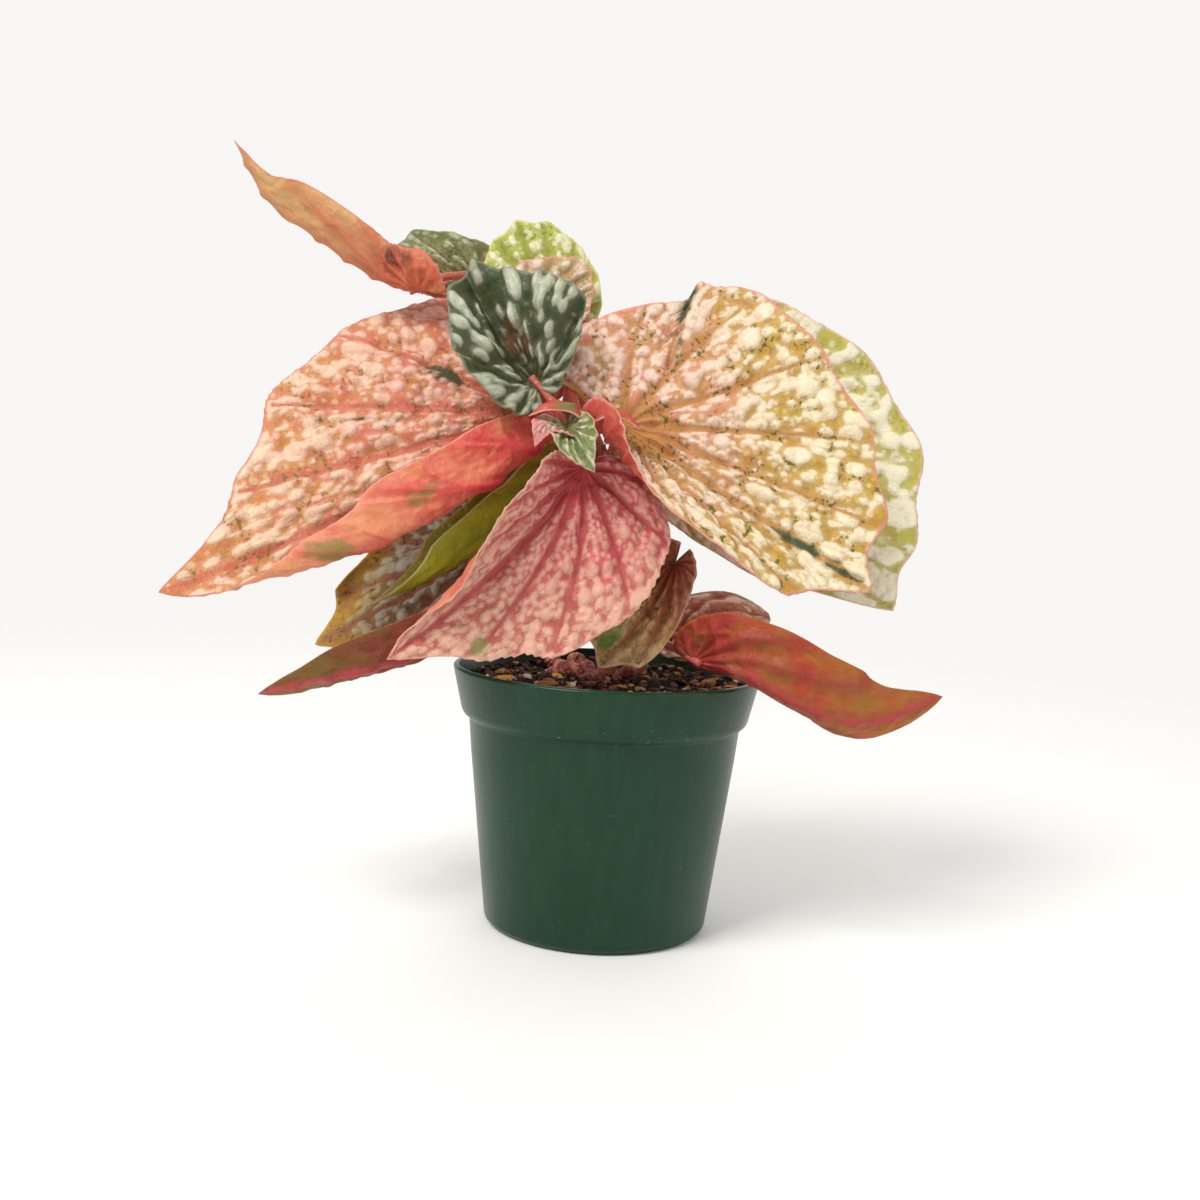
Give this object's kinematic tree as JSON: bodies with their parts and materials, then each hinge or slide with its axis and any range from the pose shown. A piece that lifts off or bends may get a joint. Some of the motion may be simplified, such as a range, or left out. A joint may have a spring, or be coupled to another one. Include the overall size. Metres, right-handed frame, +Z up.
{
  "type": "potted begonia plant",
  "caption": "Potted begonia with angel-wing leaves speckled in pink, cream and green, growing on canes in a round tapered plastic nursery pot.",
  "frame": {"origin": "middle of the pot's underside, on the surface that the pot stands on", "axes": "+Z up, -Y towards the side that the plant shows its face to, +X to the right as seen from there"},
  "size_m": [0.184, 0.0809, 0.1862],
  "materials": {
    "pot_plastic": "satin forest green, moulded, with pale scuffs along the rim",
    "soil_mix": "matt, coarse, dark mix of peat and bark with white grit",
    "cane_bark": "satin, red-brown, jointed",
    "leaf_pink": "satin, blistered, pink with cream spots and olive between the veins",
    "leaf_cream": "satin, blistered, olive and terracotta with merging cream spots and a pink margin",
    "leaf_lime": "satin, lime green",
    "leaf_dark": "satin, blistered, dark green with silver spots",
    "leaf_brown": "satin, brick red underside",
    "leaf_olive": "satin, olive and mustard"
  },
  "bodies": {
    "root": {"pot": "pot_plastic", "soil": "soil_mix", "cane_front": "cane_bark", "cane_rear": "cane_bark", "leaf_left": "leaf_pink", "leaf_right": "leaf_cream", "leaf_right_rear": "leaf_cream", "leaf_centre": "leaf_pink", "leaf_lime": "leaf_lime", "leaf_dark": "leaf_dark", "leaf_upper_left": "leaf_pink", "leaf_top_lime": "leaf_lime", "leaf_top_cream": "leaf_cream", "leaf_top_rear": "leaf_dark", "leaf_lower_left_rear": "leaf_olive", "leaf_lower_left": "leaf_brown", "leaf_hanging": "leaf_brown", "leaf_lower_right": "leaf_brown", "leaf_lower_right_rear": "leaf_pink", "leaf_young": "leaf_lime"}
  },
  "joints": []
}
